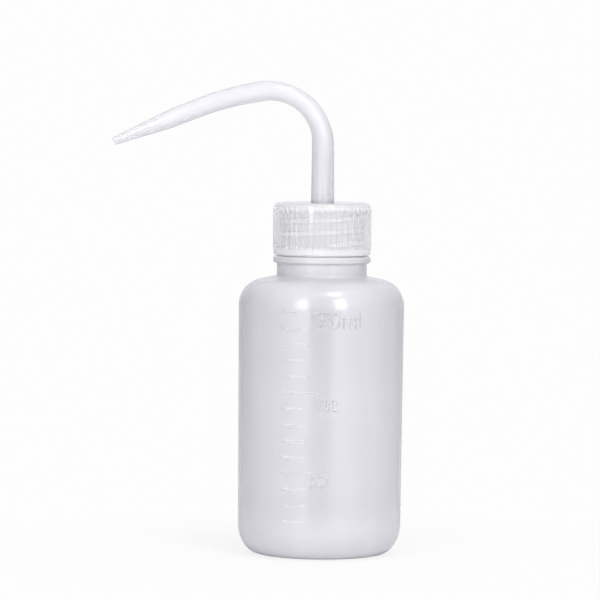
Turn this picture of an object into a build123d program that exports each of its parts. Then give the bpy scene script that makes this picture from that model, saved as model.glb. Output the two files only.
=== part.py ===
from build123d import *

import os
from math import asin, atan, degrees, radians, tan

os.makedirs("parts", exist_ok=True)

# A 150 ml squeeze wash bottle: a blown bottle, a screw cap, a bent spout and a dip tube.
# Z is the bottle's axis, z = 0 is the surface that it stands on, and the spout points to -X.

# Bottle body
body_radius = 26.3
foot_radius = 25.95
body_wall = 0.9
shoulder_start = 79.15
shoulder_radius = 8.4
shoulder_slope = 11.2

# Bottle base
standing_radius = 19.4
standing_width = 2.2
corner_height = 9.6
base_wall = 1.1
base_hollow = 1.6

# Bottle neck and its ring under the cap
neck_radius = 14.3
neck_length = 4.15
neck_wall = 1.3
neck_fillet = 0.7
mouth_taper = 1.5
ring_radius = 15.5
ring_thickness = 2.15
ring_chamfer = 0.45
finish_radius = 13.1
finish_height = 14.65
mouth_radius = 11.6

# Screw thread on the neck: right-handed, with one start
thread_pitch = 4.0
thread_turns = 2.25
thread_depth = 1.1
thread_root = 2.0
thread_crest = 1.1
thread_above_ring = 3.85
thread_angle = -82.0
thread_sink = 0.25

# Cap
cap_radius = 15.6
cap_corner = 2.0
cap_plate = 1.5
cap_gap = 0.45
cap_fit = 0.2
cap_lead_in = 0.4
band_radius = 15.45
band_height = 2.0
band_chamfer = 0.3
knurl_depth = 0.3
rib_count = 50
rib_width = 0.66

# Screw thread in the cap
cap_thread_root = 1.5
cap_thread_crest = 0.7
cap_thread_turns = 2.25
cap_thread_start = 1.3
crest_clearance = 0.25
flank_clearance = 0.25

# Spout inside the neck: flange, plug and nipple
flange_thickness = 0.9
flange_margin = 0.1
plug_depth = 4.5
plug_wall = 1.2
plug_chamfer = 0.5
plug_fit = 0.1
stem_depth = 6.4
nipple_length = 9.0
nipple_chamfer = 0.4

# Spout outside the cap
stem_radius = 3.7
stem_fit = 0.1
stem_taper = 0.01
bore_radius = 1.7
riser_height = 18.3
bend_radius = 17.0
bend_angle = 98.9
bend_flat = 0.32
bend_spread = 0.12
arm_radius = 94.0
arm_angle = 13.1
arm_end_run = 9.0
tip_run = 19.3
tip_radius = 1.35
tip_chamfer = 0.3
tip_blend = 60.0
tip_bore_radius = 0.6

# Dip tube
tube_radius = 3.58
tube_wall = 1.0
nipple_fit = 0.05
tube_above_base = 3.0
tube_bevel = 25.0

# Turn from the ground to the upright
quarter = 90.0

def body_curve(inset, floor):
    """Draws the body's half section from the axis to the shoulder's slope, inside the outer skin by a wall."""
    rest_start = standing_radius - standing_width
    hollow_radius = (rest_start**2 + base_hollow**2) / (2 * base_hollow)
    hollow_angle = degrees(asin(rest_start / hollow_radius))
    draft = degrees(atan((body_radius - foot_radius) / (shoulder_start - corner_height)))
    corner_width = foot_radius - inset - standing_radius
    hollow = JernArc((0, base_hollow + floor), (1, 0), hollow_radius, -hollow_angle)
    Line(hollow @ 1, (standing_radius, floor))
    EllipticalCenterArc((standing_radius, corner_height), corner_width, corner_height - floor, -quarter, arc_size=quarter)
    wall = Line((foot_radius - inset, corner_height), (body_radius - inset, shoulder_start))
    return JernArc(wall @ 1, wall % 1, shoulder_radius - inset, quarter - shoulder_slope + draft)


def slope_height(shoulder, radius):
    """The height at which the shoulder's slope, carried on from its arc, reaches a radius."""
    end = shoulder @ 1
    return end.Y + (end.X - radius) * tan(radians(shoulder_slope))


def thread_ridge(base_radius, depth, root, crest, height, turns):
    """Sweeps a ridge along a helix, outwards from base_radius, or inwards where depth is negative."""
    sink = thread_sink if depth > 0 else -thread_sink
    with BuildLine():
        helix = Helix(thread_pitch, turns * thread_pitch, base_radius - sink, center=(0, 0, height))
    with BuildSketch(Plane(origin=helix @ 0, x_dir=(1, 0, 0), z_dir=helix % 0)) as section:
        Polygon(
            (0, -root / 2),
            (sink, -root / 2),
            (sink + depth, -crest / 2),
            (sink + depth, crest / 2),
            (sink, root / 2),
            (0, root / 2),
            align=None,
        )
    sweep(sections=section.sketch, path=helix, is_frenet=True)


def bent_run(arc, stations):
    """Sweeps a section along an arc. Each station gives a share of the arc, the half width and the half height there."""
    outlines = []
    for share, half_width, half_height in stations:
        with BuildSketch(Plane(origin=arc @ share, x_dir=(0, 1, 0), z_dir=arc % share)) as outline:
            Ellipse(half_width, half_height)
        outlines.append(outline.sketch)
    sweep(sections=outlines, path=arc, multisection=True)


def bent_bore(arc):
    """Cuts the bore along an arc."""
    with BuildSketch(Plane(origin=arc @ 0, x_dir=(0, 1, 0), z_dir=arc % 0)) as outline:
        Circle(bore_radius)
    sweep(sections=outline.sketch, path=arc, mode=Mode.SUBTRACT)


# Levels and radii that follow from the sizes above
with BuildLine():
    neck_bottom = slope_height(body_curve(0, 0), neck_radius)
ring_height = neck_bottom + neck_length
ring_top = ring_height + ring_thickness
rim_height = ring_top + finish_height
flange_top = rim_height + flange_thickness
cap_top = flange_top + cap_plate
cap_bottom = ring_top + cap_gap
band_top = cap_bottom + band_height
thread_radius = finish_radius + thread_depth
thread_start = ring_top + thread_above_ring
cap_bore_radius = thread_radius + cap_fit
cap_thread_depth = cap_bore_radius - finish_radius - crest_clearance
cap_thread_height = cap_bottom + cap_thread_start
flange_radius = finish_radius - flange_margin
plug_radius = mouth_radius - plug_fit
plug_bottom = rim_height - plug_depth
stem_bottom = flange_top - stem_depth
nipple_bottom = stem_bottom - nipple_length
nipple_radius = tube_radius - tube_wall - nipple_fit
tube_bottom = base_hollow + base_wall + tube_above_base

# Bottle, blown in one piece with its neck and thread
with BuildPart() as neck_thread:
    thread_ridge(finish_radius, thread_depth, thread_root, thread_crest, thread_start, thread_turns)

with BuildPart() as bottle:
    with BuildSketch(Plane.XZ):
        with BuildLine():
            outer_shoulder = body_curve(0, 0)
            FilletPolyline(
                outer_shoulder @ 1,
                (neck_radius, neck_bottom),
                (neck_radius, ring_height),
                radius=neck_fillet,
            )
            Polyline(
                (neck_radius, ring_height),
                (ring_radius - ring_chamfer, ring_height),
                (ring_radius, ring_height + ring_chamfer),
                (ring_radius, ring_top - ring_chamfer),
                (ring_radius - ring_chamfer, ring_top),
                (finish_radius, ring_top),
                (finish_radius, rim_height),
                (0, rim_height),
                (0, base_hollow),
            )
        make_face()
    revolve(axis=Axis.Z)
    add(neck_thread.part.rotate(Axis.Z, thread_angle))
    with BuildSketch(Plane.XZ):
        with BuildLine():
            inner_shoulder = body_curve(body_wall, base_wall)
            inner_radius = neck_radius - neck_wall
            Polyline(
                inner_shoulder @ 1,
                (inner_radius, slope_height(inner_shoulder, inner_radius)),
                (inner_radius, ring_height),
                (mouth_radius, ring_height + mouth_taper),
                (mouth_radius, rim_height),
                (0, rim_height),
                (0, base_hollow + base_wall),
            )
        make_face()
    revolve(axis=Axis.Z, mode=Mode.SUBTRACT)
bottle.part.label = "bottle"

# Cap, moulded in one piece with its knurl and its thread, which seats under the neck's thread
thread_offset = (thread_root + cap_thread_crest) / 2 + flank_clearance
cap_thread_lead = 360 * (cap_thread_height + thread_offset - thread_start) / thread_pitch

with BuildPart() as cap_thread:
    thread_ridge(
        cap_bore_radius, -cap_thread_depth, cap_thread_root, cap_thread_crest, cap_thread_height, cap_thread_turns
    )

with BuildPart() as cap:
    with BuildSketch(Plane.XY.offset(band_top)):
        Circle(cap_radius - knurl_depth)
        with PolarLocations(cap_radius - knurl_depth, rib_count):
            Circle(rib_width / 2)
    extrude(amount=cap_top - band_top)
    with BuildSketch(Plane.XZ):
        with BuildLine():
            FilletPolyline((0, cap_top), (cap_radius, cap_top), (cap_radius, band_top), radius=cap_corner)
            Polyline((cap_radius, band_top), (0, band_top), (0, cap_top))
        make_face()
    revolve(axis=Axis.Z, mode=Mode.INTERSECT)
    with BuildSketch(Plane.XZ):
        Polygon(
            (0, band_top),
            (band_radius, band_top),
            (band_radius, cap_bottom + band_chamfer),
            (band_radius - band_chamfer, cap_bottom),
            (0, cap_bottom),
            align=None,
        )
    revolve(axis=Axis.Z)
    with BuildSketch(Plane.XZ):
        Polygon(
            (0, cap_bottom),
            (cap_bore_radius + cap_lead_in, cap_bottom),
            (cap_bore_radius, cap_bottom + cap_lead_in),
            (cap_bore_radius, flange_top),
            (0, flange_top),
            align=None,
        )
    revolve(axis=Axis.Z, mode=Mode.SUBTRACT)
    with BuildSketch(Plane.XY.offset(flange_top)):
        Circle(stem_radius + stem_fit)
    extrude(amount=cap_plate, mode=Mode.SUBTRACT)
    add(cap_thread.part.rotate(Axis.Z, thread_angle + cap_thread_lead))
cap.part.label = "cap"

# Centre line of the spout above the cap
with BuildLine(Plane.XZ):
    riser = Line((0, cap_top), (0, cap_top + riser_height))
    bend = JernArc(riser @ 1, riser % 1, bend_radius, bend_angle)
    arm = JernArc(bend @ 1, bend % 1, arm_radius, arm_angle)

riser_end_radius = stem_radius - stem_taper * riser.length
bend_end_radius = riser_end_radius - stem_taper * bend.length
arm_end_radius = bend_end_radius - stem_taper * arm.length
run_end_radius = arm_end_radius - stem_taper * arm_end_run
bend_middle_radius = (riser_end_radius + bend_end_radius) / 2
spout_end = arm_end_run + tip_run
tip_plane = Plane(origin=arm @ 1, x_dir=arm % 1, z_dir=(0, -1, 0))
tip_axis = Axis(arm @ 1, arm % 1)

# Spout: the bent tube with its flange, its plug and the nipple for the dip tube
with BuildPart() as spout:
    with BuildSketch(Plane.XZ):
        Polygon(
            (0, nipple_bottom),
            (nipple_radius - nipple_chamfer, nipple_bottom),
            (nipple_radius, nipple_bottom + nipple_chamfer),
            (nipple_radius, stem_bottom),
            (tube_radius, stem_bottom),
            (tube_radius, rim_height),
            (plug_radius - plug_wall, rim_height),
            (plug_radius - plug_wall, plug_bottom),
            (plug_radius - plug_chamfer, plug_bottom),
            (plug_radius, plug_bottom + plug_chamfer),
            (plug_radius, rim_height),
            (flange_radius, rim_height),
            (flange_radius, flange_top),
            (stem_radius, flange_top),
            (stem_radius, cap_top),
            (riser_end_radius, cap_top + riser_height),
            (0, cap_top + riser_height),
            align=None,
        )
    revolve(axis=Axis.Z)
    bent_run(
        bend,
        [
            (0, riser_end_radius, riser_end_radius),
            (0.5, bend_middle_radius + bend_spread, bend_middle_radius - bend_flat),
            (1, bend_end_radius, bend_end_radius),
        ],
    )
    bent_run(arm, [(0, bend_end_radius, bend_end_radius), (1, arm_end_radius, arm_end_radius)])
    with BuildSketch(tip_plane):
        with BuildLine():
            FilletPolyline(
                (0, arm_end_radius),
                (arm_end_run, run_end_radius),
                (spout_end - tip_chamfer, tip_radius),
                radius=tip_blend,
            )
            Polyline(
                (spout_end - tip_chamfer, tip_radius),
                (spout_end, tip_radius - tip_chamfer),
                (spout_end, 0),
                (0, 0),
                (0, arm_end_radius),
            )
        make_face()
    revolve(axis=tip_axis)
    with BuildSketch(Plane.XY.offset(nipple_bottom)):
        Circle(bore_radius)
    extrude(amount=cap_top + riser_height - nipple_bottom, mode=Mode.SUBTRACT)
    bent_bore(bend)
    bent_bore(arm)
    with BuildSketch(tip_plane):
        Polygon(
            (0, 0),
            (0, bore_radius),
            (arm_end_run, bore_radius),
            (spout_end, tip_bore_radius),
            (spout_end, 0),
            align=None,
        )
    revolve(axis=tip_axis, mode=Mode.SUBTRACT)
spout.part.label = "spout"

# Dip tube, pushed up over the nipple, with its lower end cut at a slant
with BuildPart() as dip_tube:
    with BuildSketch(Plane.XY.offset(tube_bottom)):
        Circle(tube_radius)
        Circle(tube_radius - tube_wall, mode=Mode.SUBTRACT)
    extrude(amount=stem_bottom - tube_bottom)
    slant = tan(radians(tube_bevel))
    split(bisect_by=Plane(origin=(-tube_radius, 0, tube_bottom), z_dir=(-slant, 0, 1)), keep=Keep.TOP)
dip_tube.part.label = "dip_tube"

export_step(bottle.part, "parts/bottle.step")
export_step(cap.part, "parts/cap.step")
export_step(spout.part, "parts/spout.step")
export_step(dip_tube.part, "parts/dip_tube.step")
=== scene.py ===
import math

import bmesh
import bpy
from mathutils import Matrix, Vector


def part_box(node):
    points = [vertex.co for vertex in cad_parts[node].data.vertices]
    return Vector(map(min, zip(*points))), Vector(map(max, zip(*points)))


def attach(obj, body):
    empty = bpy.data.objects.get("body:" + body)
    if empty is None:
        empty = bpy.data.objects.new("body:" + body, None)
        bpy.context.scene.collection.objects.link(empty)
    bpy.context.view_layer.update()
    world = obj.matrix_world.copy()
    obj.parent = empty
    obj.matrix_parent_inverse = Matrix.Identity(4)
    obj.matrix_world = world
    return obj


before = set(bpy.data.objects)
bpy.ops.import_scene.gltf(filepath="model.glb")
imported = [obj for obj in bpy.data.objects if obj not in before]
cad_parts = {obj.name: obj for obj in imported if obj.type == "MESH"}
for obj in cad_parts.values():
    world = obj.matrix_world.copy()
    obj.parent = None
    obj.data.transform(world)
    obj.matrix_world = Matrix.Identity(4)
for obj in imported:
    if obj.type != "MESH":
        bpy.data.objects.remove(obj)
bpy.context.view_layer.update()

# Camera, floor and light
CAMERA_DISTANCE = 1.25
CAMERA_HEIGHT = 0.149
CAMERA_PITCH = 3.13
CAMERA_ROLL = 0.6
CAMERA_ASIDE = -0.00684
FOCAL_LENGTH = 235.8
SENSOR_WIDTH = 36.0
WHITE = (0.985, 0.985, 0.985, 1.0)
FLOOR_PAINT = (0.9, 0.9, 0.9, 1.0)
FLOOR_SIZE = 8.0
FLOOR_GAP = 0.0002
SHADOW_REACH = 0.14
SHADOW_SHOWN = 0.2
LIGHT_TINT = (0.97, 0.96, 1.0, 1.0)
SIDE_FALL = [(0.35, 0.9), (0.85, 0.22)]
SOFT_BOXES = [
    ("key", (0.56, -1.05, 0.55), (0.0, 0.0, 0.25), (0.3, 0.9), 6.2),
    ("fill", (-0.55, -1.05, 0.5), (0.0, 0.0, 0.2), (0.3, 0.9), 4.6),
    ("top", (0.25, -0.45, 1.1), (0.0, 0.0, 0.08), (0.3, 0.3), 2.5),
]
MAX_BOUNCES, KIND_BOUNCES = 64, 48

# The bottle's wall, in metres from its axis and from the surface that it stands on
BOTTLE_LOW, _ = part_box("bottle")
FOOT_HEIGHT, FOOT_RADIUS = 0.0096, 0.02595
SHOULDER_HEIGHT, BODY_RADIUS = 0.07915, 0.0263

# The raised scale in millilitres: marks every 10, longer ones every 50. Its angles are degrees from the front.
FIRST_MARK, LAST_MARK, MARK_STEP, LONG_STEP = 20, 150, 10, 50
KNOWN_AMOUNT, KNOWN_LEVEL, RISE_PER_ML = 50, 0.0275, 0.000505
MARK_LEFT, MARK_RIGHT, LONG_RIGHT = -27.4, -10.0, -0.5
MARK_HALF_WIDTH, MARK_PROUD, MARK_SINK = 0.0004, 0.00005, 0.00004
MARK_EDGE = 0.6 * MARK_PROUD
MARK_SECTION = [
    (-1.0, -MARK_SINK), (-0.8, MARK_EDGE), (-0.3, MARK_PROUD),
    (0.3, MARK_PROUD), (0.8, MARK_EDGE), (1.0, -MARK_SINK),
]
MARK_TURN, MARK_FEWEST_STEPS, MARK_END_SHARE = 1.5, 4, 0.4

# Each number: its words, lower edge, height, and left and right angle
NUMBERS = [
    ("150ml", 0.0731, 0.0051, -7.4, 28.4),
    ("100", 0.0469, 0.0038, -0.8, 11.8),
    ("50", 0.0231, 0.0040, -8.5, 5.0),
]
GLYPH_DEPTH, GLYPH_BEVEL = 0.04, 0.012

# The milky look, shared by all the plastics
CLEAR_SHARE = 0.65
LOSS_COLOUR = (0.81, 0.79, 0.87, 1.0)
STREAK_SCALE, STREAK_STRETCH, STREAK_SWING, STREAK_DETAIL = 90.0, 0.05, 0.04, 2.0
GRAIN_DETAIL, GRAIN_STRENGTH, ROUGHNESS_SWING = 3.0, 0.25, 0.15
# Heights and radii of the neck thread: its crests get a painted highlight
THREAD_START, THREAD_FULL = 0.0950, 0.0960
THREAD_ROOT, THREAD_CREST = 0.0131, 0.0141

# Scattering shares of each plastic as (height, share) pairs
BOTTLE_HAZE = [
    (0.004, 0.46), (0.02, 0.35), (0.05, 0.34), (0.066, 0.31),
    (0.076, 0.31), (0.088, 0.46), (0.094, 0.57), (0.0965, 0.84),
]
CAP_HAZE = [(0.0965, 0.46), (0.0985, 0.24), (0.1085, 0.24), (0.1105, 0.6)]
# On the spout the share rises into the arm, which paints the light from above on it; lower down, as in the dip
# tube, it is the plastic's haze
SPOUT_HAZE_AND_TOP_LIGHT = [(0.125, 0.28), (0.142, 0.48)]
MARK_HAZE = [(0.0, 0.08), (0.1, 0.08)]
NATURAL = (0.99, 0.988, 0.998)
CAP_TINT = (0.992, 0.992, 1.0)


def new_material(name):
    """An empty node material with its output node."""
    material = bpy.data.materials.new(name)
    material.use_nodes = True
    material.node_tree.nodes.clear()
    output = material.node_tree.nodes.new("ShaderNodeOutputMaterial")
    return material, material.node_tree, output


def combine(tree, operation, first, second=None, clamp=False):
    """A sum or other math step of one or two numbers."""
    step = tree.nodes.new("ShaderNodeMath")
    step.operation = operation
    step.use_clamp = clamp
    tree.links.new(first, step.inputs[0])
    if second is not None:
        tree.links.new(second, step.inputs[1])
    return step.outputs["Value"]


def spread(tree, value, low, high):
    """A number from 0 to 1 drawn out between two others."""
    step = tree.nodes.new("ShaderNodeMapRange")
    step.inputs["To Min"].default_value = low
    step.inputs["To Max"].default_value = high
    tree.links.new(value, step.inputs["Value"])
    return step.outputs["Result"]


def stretched(tree, vector, factors):
    """A vector with each of its axes multiplied."""
    step = tree.nodes.new("ShaderNodeVectorMath")
    step.operation = "MULTIPLY"
    step.inputs[1].default_value = factors
    tree.links.new(vector, step.inputs[0])
    return step.outputs["Vector"]


def length(tree, vector):
    """A vector's length."""
    step = tree.nodes.new("ShaderNodeVectorMath")
    step.operation = "LENGTH"
    tree.links.new(vector, step.inputs[0])
    return step.outputs["Value"]


def axis(tree, vector, name):
    """One of a vector's axes."""
    step = tree.nodes.new("ShaderNodeSeparateXYZ")
    tree.links.new(vector, step.inputs["Vector"])
    return step.outputs[name]


def noise(tree, vector, scale, detail):
    """A noise from 0 to 1."""
    step = tree.nodes.new("ShaderNodeTexNoise")
    step.inputs["Scale"].default_value = scale
    step.inputs["Detail"].default_value = detail
    tree.links.new(vector, step.inputs["Vector"])
    return step.outputs["Fac"]


def mixed(tree, share, first, second):
    """Two shaders mixed by a share of the second."""
    step = tree.nodes.new("ShaderNodeMixShader")
    tree.links.new(share, step.inputs["Fac"])
    tree.links.new(first, step.inputs[1])
    tree.links.new(second, step.inputs[2])
    return step.outputs["Shader"]


def seen(tree):
    """1 for rays from the camera or through the plastic, and 0 for the others."""
    path = tree.nodes.new("ShaderNodeLightPath")
    camera, through = path.outputs["Is Camera Ray"], path.outputs["Is Transmission Ray"]
    return combine(tree, "MAXIMUM", camera, through)


def ramp(tree, value, stops):
    """A smooth curve of a number: stops are (from, to) pairs joined by eased steps."""
    total = None
    for (low, start), (high, end) in zip(stops, stops[1:]):
        step = tree.nodes.new("ShaderNodeMapRange")
        step.interpolation_type = "SMOOTHSTEP"
        step.inputs["From Min"].default_value = low
        step.inputs["From Max"].default_value = high
        step.inputs["To Min"].default_value = start if total is None else 0.0
        step.inputs["To Max"].default_value = end if total is None else end - start
        tree.links.new(value, step.inputs["Value"])
        part = step.outputs["Result"]
        total = part if total is None else combine(tree, "ADD", total, part)
    return total


def clear_share(tree, place, haze, ridge_highlight):
    """The refracting share: by height, with soft streaks, and less on the thread's ridges, which paints a
    highlight along them.
    """
    height = axis(tree, place, "Z")
    by_height = ramp(tree, height, [(level, 1.0 - share) for level, share in haze])
    streaks = stretched(tree, place, (STREAK_SCALE, STREAK_SCALE, STREAK_SCALE * STREAK_STRETCH))
    swing = spread(tree, noise(tree, streaks, 1.0, STREAK_DETAIL), -STREAK_SWING, STREAK_SWING)
    radius = length(tree, stretched(tree, place, (1.0, 1.0, 0.0)))
    # Less refraction on the neck thread's crests paints a highlight along them
    outward = ramp(tree, radius, [(THREAD_ROOT, 0.0), (THREAD_CREST, ridge_highlight)])
    upward = ramp(tree, height, [(THREAD_START, 0.0), (THREAD_FULL, 1.0)])
    painted_crest_highlight = combine(tree, "MULTIPLY", outward, upward)
    return combine(tree, "SUBTRACT", combine(tree, "ADD", by_height, swing, clamp=True), painted_crest_highlight, clamp=True)


def polythene(name, haze, tint, roughness, grain_scale, grain_depth, density, ridge_highlight=0.0, index=1.51):
    """Milky plastic: rough refraction, a scattering share, a fine grain and light lost in the wall, with a
    painted highlight on the thread's ridges when a ridge share is given.
    """
    material, tree, output = new_material(name)
    link = tree.links.new
    shader = tree.nodes.new("ShaderNodeBsdfPrincipled")
    shader.inputs["Base Color"].default_value = (*tint, 1.0)
    shader.inputs["IOR"].default_value = index
    shader.inputs["Roughness"].default_value = roughness
    shader.inputs["Transmission Weight"].default_value = CLEAR_SHARE
    place = tree.nodes.new("ShaderNodeTexCoord").outputs["Object"]
    link(clear_share(tree, place, haze, ridge_highlight), shader.inputs["Transmission Weight"])
    grain = noise(tree, place, grain_scale, GRAIN_DETAIL)
    low, high = roughness * (1.0 - ROUGHNESS_SWING), roughness * (1.0 + ROUGHNESS_SWING)
    link(spread(tree, grain, low, high), shader.inputs["Roughness"])
    bump = tree.nodes.new("ShaderNodeBump")
    bump.inputs["Strength"].default_value = GRAIN_STRENGTH
    bump.inputs["Distance"].default_value = grain_depth
    link(grain, bump.inputs["Height"])
    link(bump.outputs["Normal"], shader.inputs["Normal"])
    loss = tree.nodes.new("ShaderNodeVolumeAbsorption")
    loss.inputs["Color"].default_value = LOSS_COLOUR
    loss.inputs["Density"].default_value = density
    link(shader.outputs["BSDF"], output.inputs["Surface"])
    link(loss.outputs["Volume"], output.inputs["Volume"])
    return material


def dress(node, material):
    """Gives a CAD node its material."""
    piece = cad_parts[node]
    piece.data.materials.clear()
    piece.data.materials.append(material)


def wall_radius(height):
    """The wall's outer radius at a height between the foot and the shoulder."""
    share = (height - FOOT_HEIGHT) / (SHOULDER_HEIGHT - FOOT_HEIGHT)
    return FOOT_RADIUS + (BODY_RADIUS - FOOT_RADIUS) * share


def on_wall(angle, height, proud):
    """A point over the wall, at an angle from the front in degrees."""
    radius = wall_radius(height) + proud
    turn = math.radians(angle)
    return Vector((radius * math.sin(turn), -radius * math.cos(turn), height))


def raised_mark(mesh, height, left, right):
    """A rounded bar that follows the wall round, with closed ends."""
    steps = max(MARK_FEWEST_STEPS, round((right - left) / MARK_TURN))
    rings = []
    for step in range(steps + 1):
        angle = left + (right - left) * step / steps
        low = MARK_END_SHARE if step in (0, steps) else 1.0
        ring = []
        for share, proud in MARK_SECTION:
            ring.append(mesh.verts.new(on_wall(angle, height + share * low * MARK_HALF_WIDTH, proud * low)))
        rings.append(ring)
    for one, two in zip(rings, rings[1:]):
        for k in range(len(MARK_SECTION)):
            after = (k + 1) % len(MARK_SECTION)
            mesh.faces.new((one[k], one[after], two[after], two[k]))
    mesh.faces.new(rings[0][::-1])
    mesh.faces.new(rings[-1])


def raised_number(mesh, words, height, size, left, right):
    """A plain number moulded on the wall: flat glyphs are given thickness and wrapped round."""
    data = bpy.data.curves.new("number_outline", "FONT")
    data.body = words
    data.extrude = GLYPH_DEPTH
    data.bevel_depth = GLYPH_BEVEL
    data.bevel_resolution = 1
    outline = bpy.data.objects.new("number_outline", data)
    flat = bpy.data.meshes.new_from_object(outline)
    xs = [vertex.co.x for vertex in flat.vertices]
    ys = [vertex.co.y for vertex in flat.vertices]
    zs = [vertex.co.z for vertex in flat.vertices]
    for vertex in flat.vertices:
        across = (vertex.co.x - min(xs)) / (max(xs) - min(xs))
        up = (vertex.co.y - min(ys)) / (max(ys) - min(ys))
        out = (vertex.co.z - min(zs)) / (max(zs) - min(zs))
        proud = MARK_PROUD * out - MARK_SINK * (1.0 - out)
        vertex.co = on_wall(left + (right - left) * across, height + size * up, proud)
    mesh.from_mesh(flat)
    bpy.data.objects.remove(outline)


def wall_piece(name, fill, material):
    """A piece moulded on the bottle's wall, made in mesh code."""
    mesh = bmesh.new()
    fill(mesh)
    bmesh.ops.recalc_face_normals(mesh, faces=mesh.faces)
    data = bpy.data.meshes.new(name)
    mesh.to_mesh(data)
    mesh.free()
    data.shade_smooth()
    piece = bpy.data.objects.new(name, data)
    bpy.context.collection.objects.link(piece)
    piece.data.materials.append(material)
    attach(piece, "bottle")


def scale_marks(mesh):
    """Every mark of the scale."""
    for amount in range(FIRST_MARK, LAST_MARK + 1, MARK_STEP):
        height = KNOWN_LEVEL + (amount - KNOWN_AMOUNT) * RISE_PER_ML
        right = MARK_RIGHT if amount % LONG_STEP else LONG_RIGHT
        raised_mark(mesh, height, MARK_LEFT, right)


def scale_numbers(mesh):
    """Every number of the scale."""
    for words, height, size, left, right in NUMBERS:
        raised_number(mesh, words, height, size, left, right)


# Plastics: haze, tint, roughness, scale and depth of the grain, and density of the light lost
# The bottle's ridge share paints a highlight along the neck thread's crests
dress("bottle", polythene("bottle_polythene", BOTTLE_HAZE, NATURAL, 0.19, 900.0, 0.00002, 600.0, ridge_highlight=0.22))
dress("cap", polythene("cap_polypropylene", CAP_HAZE, CAP_TINT, 0.03, 1500.0, 0.00001, 1.0))
# The spout's higher share on its arm is painted light from above
dress("spout", polythene("spout_polythene", SPOUT_HAZE_AND_TOP_LIGHT, NATURAL, 0.2, 1200.0, 0.00001, 290.0))
dress("dip_tube", polythene("tube_polythene", SPOUT_HAZE_AND_TOP_LIGHT, NATURAL, 0.10, 1200.0, 0.00001, 400.0))
mark_plastic = polythene("mark_polythene", MARK_HAZE, NATURAL, 0.4, 900.0, 0.00002, 10.0, index=1.03)
wall_piece("scale_marks", scale_marks, mark_plastic)
wall_piece("scale_numbers", scale_numbers, mark_plastic)


def pale_floor():
    """A pale floor that shows near white to the camera and still takes a soft shadow."""
    material, tree, output = new_material("floor_pale")
    paint = tree.nodes.new("ShaderNodeBsdfDiffuse")
    paint.inputs["Color"].default_value = FLOOR_PAINT
    glow = tree.nodes.new("ShaderNodeEmission")
    glow.inputs["Color"].default_value = WHITE
    reach = length(tree, tree.nodes.new("ShaderNodeNewGeometry").outputs["Position"])
    fade = ramp(tree, reach, [(0.0, 1.0 - SHADOW_SHOWN), (SHADOW_REACH, 1.0)])
    share = combine(tree, "MULTIPLY", seen(tree), fade)
    shown = mixed(tree, share, paint.outputs["BSDF"], glow.outputs["Emission"])
    tree.links.new(shown, output.inputs["Surface"])
    bpy.ops.mesh.primitive_plane_add(size=FLOOR_SIZE, location=(0.0, 0.0, BOTTLE_LOW[2] - FLOOR_GAP))
    floor = bpy.context.object
    floor.name = "floor"
    floor.data.materials.append(material)


def studio_world():
    """White to the camera and through the plastic, and a pale light that falls off to the sides."""
    world = bpy.data.worlds.new("studio")
    bpy.context.scene.world = world
    world.use_nodes = True
    tree = world.node_tree
    tree.nodes.clear()
    output = tree.nodes.new("ShaderNodeOutputWorld")
    light = tree.nodes.new("ShaderNodeBackground")
    light.inputs["Color"].default_value = LIGHT_TINT
    heading = tree.nodes.new("ShaderNodeTexCoord").outputs["Generated"]
    sideways = combine(tree, "ABSOLUTE", axis(tree, heading, "X"))
    tree.links.new(ramp(tree, sideways, SIDE_FALL), light.inputs["Strength"])
    white = tree.nodes.new("ShaderNodeBackground")
    white.inputs["Color"].default_value = WHITE
    shown = mixed(tree, seen(tree), light.outputs["Background"], white.outputs["Background"])
    tree.links.new(shown, output.inputs["Surface"])


def soft_box(name, place, target, size, power):
    """A rectangular lamp aimed at a point."""
    data = bpy.data.lights.new(name, "AREA")
    data.shape = "RECTANGLE"
    data.size, data.size_y = size
    data.energy = power
    lamp = bpy.data.objects.new(name, data)
    bpy.context.collection.objects.link(lamp)
    lamp.location = place
    lamp.rotation_euler = (Vector(target) - Vector(place)).to_track_quat("-Z", "Y").to_euler()


def photo_camera():
    """The photograph's viewing angle: as high as the bend, looking slightly down, with a slight roll."""
    data = bpy.data.cameras.new("photo_camera")
    data.sensor_width = SENSOR_WIDTH
    data.lens = FOCAL_LENGTH
    camera = bpy.data.objects.new("photo_camera", data)
    bpy.context.collection.objects.link(camera)
    camera.location = (CAMERA_ASIDE, -CAMERA_DISTANCE, CAMERA_HEIGHT)
    tilt = Matrix.Rotation(math.radians(90.0 - CAMERA_PITCH), 4, "X")
    roll = Matrix.Rotation(math.radians(CAMERA_ROLL), 4, "Z")
    camera.rotation_euler = (tilt @ roll).to_euler()
    bpy.context.scene.camera = camera


pale_floor()
studio_world()
for box in SOFT_BOXES:
    soft_box(*box)
photo_camera()

bpy.context.scene.view_settings.view_transform = "Standard"
bpy.context.scene.cycles.max_bounces = MAX_BOUNCES
bpy.context.scene.cycles.diffuse_bounces = KIND_BOUNCES
bpy.context.scene.cycles.glossy_bounces = KIND_BOUNCES
bpy.context.scene.cycles.transmission_bounces = KIND_BOUNCES
